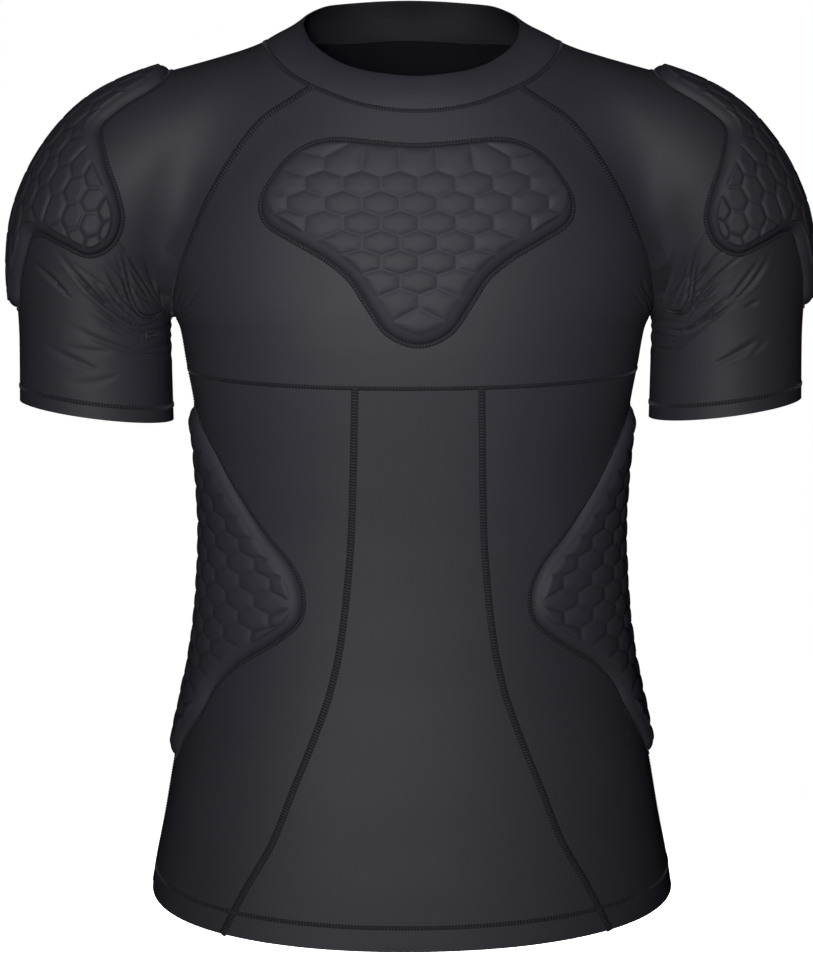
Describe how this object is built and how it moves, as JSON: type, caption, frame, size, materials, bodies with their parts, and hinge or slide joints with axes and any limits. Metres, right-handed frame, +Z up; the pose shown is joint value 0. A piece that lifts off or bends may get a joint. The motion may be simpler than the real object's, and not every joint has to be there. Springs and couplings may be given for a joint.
{
  "type": "padded compression shirt",
  "caption": "Short-sleeved raglan compression shirt in worn shape, with quilted foam pads on the chest, shoulders and ribs.",
  "frame": {"origin": "middle of the neck, level with the tops of the shoulders, where the wearer's neck and shoulders carry the shirt", "axes": "+Z up along the wearer's spine, -Y out of the chest, +X to the right as seen from the front (the wearer's left)"},
  "size_m": [0.5772, 0.2366, 0.6571],
  "materials": {
    "knit_cloth": "satin stretch knit",
    "collar_band": "satin stretch knit, doubled",
    "quilted_pad": "matt stretch knit over foam cells"
  },
  "bodies": {
    "root": {"collar": "collar_band", "front_yoke": "knit_cloth", "front_centre": "knit_cloth", "front_side_left": "knit_cloth", "front_side_right": "knit_cloth", "back": "knit_cloth", "sleeve_left": "knit_cloth", "sleeve_right": "knit_cloth", "chest_pad": "quilted_pad", "shoulder_pad_left": "quilted_pad", "shoulder_pad_right": "quilted_pad", "rib_pad_left": "quilted_pad", "rib_pad_right": "quilted_pad"}
  },
  "joints": []
}
